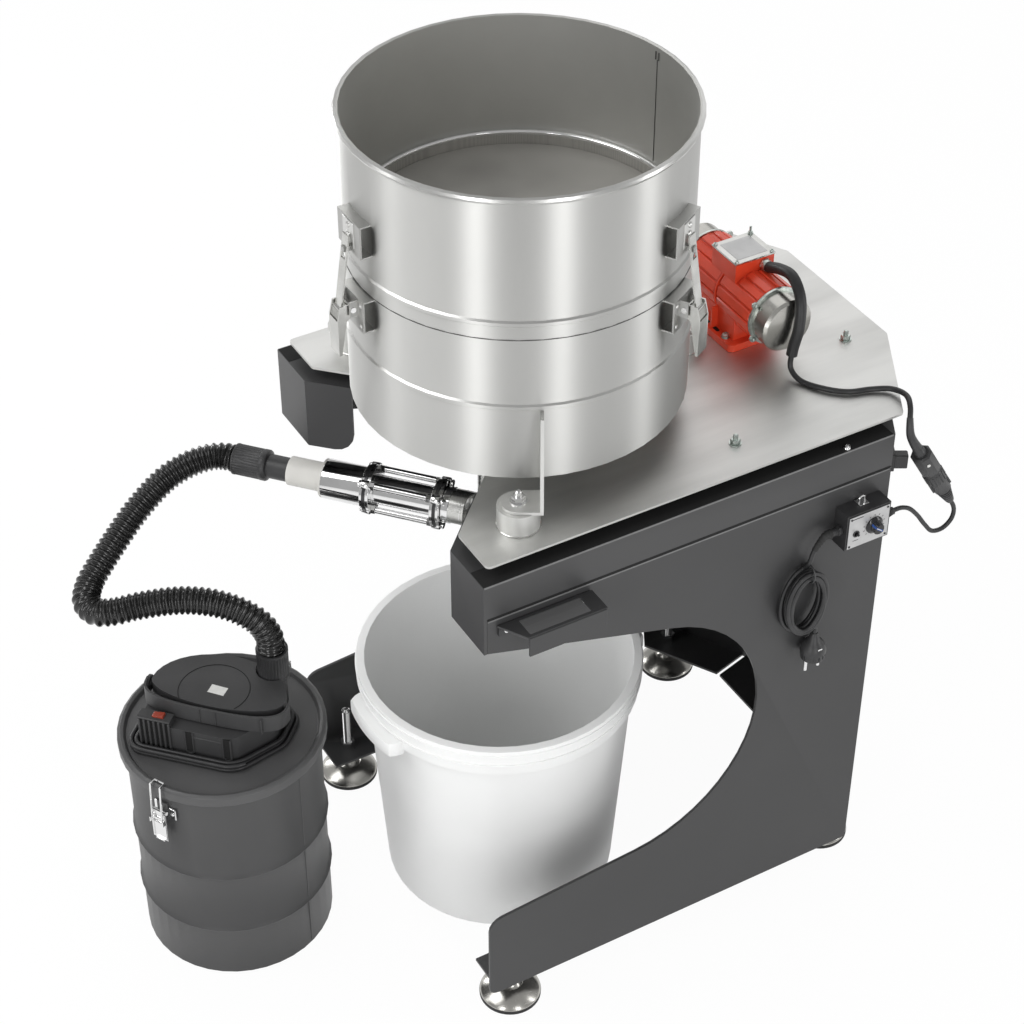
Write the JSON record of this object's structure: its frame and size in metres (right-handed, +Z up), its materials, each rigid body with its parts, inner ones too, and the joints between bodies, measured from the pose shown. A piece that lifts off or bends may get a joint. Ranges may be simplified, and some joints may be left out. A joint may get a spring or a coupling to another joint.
{
  "type": "vibrating sieve",
  "caption": "Vibrating sieve with a motor-driven deck, an open-fronted sheet-steel stand, a suction pipe to a drum vacuum and a catch bucket.",
  "frame": {"origin": "on the floor, at the middle of the footprint of the whole set without its free cords", "axes": "+Z up, -Y towards the open front of the stand where the bucket goes in, +Y towards the motor, +X towards the side panel with the controller"},
  "size_m": [0.6283, 0.985, 1.167],
  "materials": {
    "stainless": "brushed stainless steel sheet",
    "black_paint": "satin black powder coat",
    "rubber": "matt black rubber",
    "chrome": "bright plated steel",
    "wire_mesh": "fine woven wire cloth",
    "red_paint": "red-orange paint on a casting",
    "cable_black": "matt black cable sheath",
    "black_plastic": "matt black moulded plastic",
    "blue_plastic": "blue and black moulded plastic",
    "cream_plastic": "off-white moulded plastic",
    "red_plastic": "red gloss plastic",
    "white_plastic": "white food-grade plastic",
    "drum_paint": "matt dark grey paint on a steel drum"
  },
  "bodies": {
    "stand": {"side_panel_right": "black_paint", "side_panel_left": "black_paint", "rear_panel": "black_paint", "top_frame": "black_paint", "handle_right": "black_paint", "handle_left": "black_paint", "control_box": "black_plastic", "mains_lead": "cable_black", "suction_hose": "rubber", "hose_cuff_rear": "black_plastic", "canister": "drum_paint", "canister_lid": "drum_paint", "vacuum_head": "black_plastic", "vacuum_flex": "cable_black"},
    "deck": {"deck_plate": "stainless", "buffer_front_right": "rubber", "buffer_front_left": "rubber", "buffer_middle_right": "rubber", "buffer_middle_left": "rubber", "buffer_rear_right": "rubber", "buffer_rear_left": "rubber", "lower_pan": "stainless", "outlet_pipe": "stainless", "support_bracket_1": "stainless", "support_bracket_2": "stainless", "support_bracket_3": "stainless", "hopper_ring": "stainless", "screen_gasket": "stainless", "sieve_mesh": "wire_mesh", "motor_housing": "red_paint", "terminal_lid": "stainless", "motor_cap_right": "stainless", "motor_cap_left": "stainless", "motor_cable": "cable_black", "control_cable": "cable_black", "cable_connector": "rubber", "sight_glass": "stainless", "suction_sleeve": "chrome", "hose_adapter": "cream_plastic", "hose_cuff_front": "black_plastic"},
    "rotor": {"motor_rotor": "stainless"},
    "lever_front": {"latch_lever_1": "stainless"},
    "bail_front": {"latch_bail_1": "stainless"},
    "lever_right": {"latch_lever_2": "stainless"},
    "bail_right": {"latch_bail_2": "stainless"},
    "lever_left": {"latch_lever_3": "stainless"},
    "bail_left": {"latch_bail_3": "stainless"},
    "knob": {"speed_knob": "blue_plastic"},
    "toggle": {"toggle_switch": "black_plastic"},
    "foot_fr": {"foot_front_right": "chrome"},
    "foot_fl": {"foot_front_left": "chrome"},
    "foot_rr": {"foot_rear_right": "chrome"},
    "foot_rl": {"foot_rear_left": "chrome"},
    "vacuum_handle": {"carry_handle": "black_plastic"},
    "rocker": {"vacuum_switch": "red_plastic"},
    "clip_front": {"lid_clip_1": "chrome"},
    "clip_front_wire": {"clip_wire_1": "chrome"},
    "clip_back": {"lid_clip_2": "chrome"},
    "clip_back_wire": {"clip_wire_2": "chrome"},
    "catch_bucket": {"bucket": "white_plastic"}
  },
  "joints": [
    {"name": "deck_vibration", "type": "slide", "parent": "stand", "child": "deck", "axis": [0, 0, 1], "range_m": [-0.0015, 0.0015], "stiffness_N_per_m": 400000, "springref_m": 0.0008, "deforming": ["buffer_front_right", "buffer_front_left", "buffer_middle_right", "buffer_middle_left", "buffer_rear_right", "buffer_rear_left"]},
    {"name": "rotor_spin", "type": "hinge", "parent": "deck", "child": "rotor", "pos_m": [0, 0.3425, 0.8178], "axis": [1, 0, 0], "continuous": true},
    {"name": "lever_front_turn", "type": "hinge", "parent": "deck", "child": "lever_front", "pos_m": [0, -0.1936, 0.975], "axis": [-1, 0, 0], "range_deg": [0, 90]},
    {"name": "bail_front_turn", "type": "hinge", "parent": "lever_front", "child": "bail_front", "pos_m": [0, -0.2036, 0.972], "axis": [-1, 0, 0], "range_deg": [-112.5, 0]},
    {"name": "lever_right_turn", "type": "hinge", "parent": "deck", "child": "lever_right", "pos_m": [0.19009, 0.13565, 0.975], "axis": [0.5, -0.866, 0], "range_deg": [0, 90]},
    {"name": "bail_right_turn", "type": "hinge", "parent": "lever_right", "child": "bail_right", "pos_m": [0.19875, 0.14065, 0.972], "axis": [0.5, -0.866, 0], "range_deg": [-112.5, 0]},
    {"name": "lever_left_turn", "type": "hinge", "parent": "deck", "child": "lever_left", "pos_m": [-0.19009, 0.13565, 0.975], "axis": [0.5, 0.866, 0], "range_deg": [0, 90]},
    {"name": "bail_left_turn", "type": "hinge", "parent": "lever_left", "child": "bail_left", "pos_m": [-0.19875, 0.14065, 0.972], "axis": [0.5, 0.866, 0], "range_deg": [-112.5, 0]},
    {"name": "knob_turn", "type": "hinge", "parent": "stand", "child": "knob", "pos_m": [0.2865, 0.3539, 0.637], "axis": [1, 0, 0], "range_deg": [-135, 135]},
    {"name": "toggle_rock", "type": "hinge", "parent": "stand", "child": "toggle", "pos_m": [0.2835, 0.3279, 0.633], "axis": [0, 1, 0], "range_deg": [0, 16]},
    {"name": "foot_fr_screw", "type": "hinge", "parent": "stand", "child": "foot_fr", "pos_m": [0.232, -0.1191, 0.02], "axis": [0, 0, 1], "continuous": true},
    {"name": "foot_fl_screw", "type": "hinge", "parent": "stand", "child": "foot_fl", "pos_m": [-0.232, -0.1191, 0.02], "axis": [0, 0, 1], "continuous": true},
    {"name": "foot_rr_screw", "type": "hinge", "parent": "stand", "child": "foot_rr", "pos_m": [0.195, 0.3979, 0.02], "axis": [0, 0, 1], "continuous": true},
    {"name": "foot_rl_screw", "type": "hinge", "parent": "stand", "child": "foot_rl", "pos_m": [-0.195, 0.3979, 0.02], "axis": [0, 0, 1], "continuous": true},
    {"name": "vacuum_handle_turn", "type": "hinge", "parent": "stand", "child": "vacuum_handle", "pos_m": [-0.075, -0.3635, 0.393], "axis": [-0.7193, -0.6947, 0], "range_deg": [0, 90]},
    {"name": "rocker_rock", "type": "hinge", "parent": "stand", "child": "rocker", "pos_m": [-0.0868, -0.43995, 0.3879], "axis": [-0.6947, 0.7193, 0], "range_deg": [0, 16]},
    {"name": "clip_front_turn", "type": "hinge", "parent": "stand", "child": "clip_front", "pos_m": [-0.0208, -0.47649, 0.296], "axis": [-0.8829, -0.4695, 0], "range_deg": [0, 90]},
    {"name": "clip_front_wire_turn", "type": "hinge", "parent": "clip_front", "child": "clip_front_wire", "pos_m": [-0.01798, -0.48179, 0.284], "axis": [-0.8829, -0.4695, 0], "range_deg": [-112.5, 0]},
    {"name": "clip_back_turn", "type": "hinge", "parent": "stand", "child": "clip_back", "pos_m": [-0.14521, -0.24251, 0.296], "axis": [0.8829, 0.4695, 0], "range_deg": [0, 90]},
    {"name": "clip_back_wire_turn", "type": "hinge", "parent": "clip_back", "child": "clip_back_wire", "pos_m": [-0.14802, -0.23721, 0.284], "axis": [0.8829, 0.4695, 0], "range_deg": [-112.5, 0]},
    {"name": "bucket_lift", "type": "slide", "parent": "stand", "child": "catch_bucket", "axis": [0, 0, 1], "range_m": [0, 0.1]}
  ],
  "couplings": [
    {"joint": "bail_front_turn", "follows": "lever_front_turn", "ratio": -1.25},
    {"joint": "bail_right_turn", "follows": "lever_right_turn", "ratio": -1.25},
    {"joint": "bail_left_turn", "follows": "lever_left_turn", "ratio": -1.25},
    {"joint": "clip_front_wire_turn", "follows": "clip_front_turn", "ratio": -1.25},
    {"joint": "clip_back_wire_turn", "follows": "clip_back_turn", "ratio": -1.25}
  ]
}
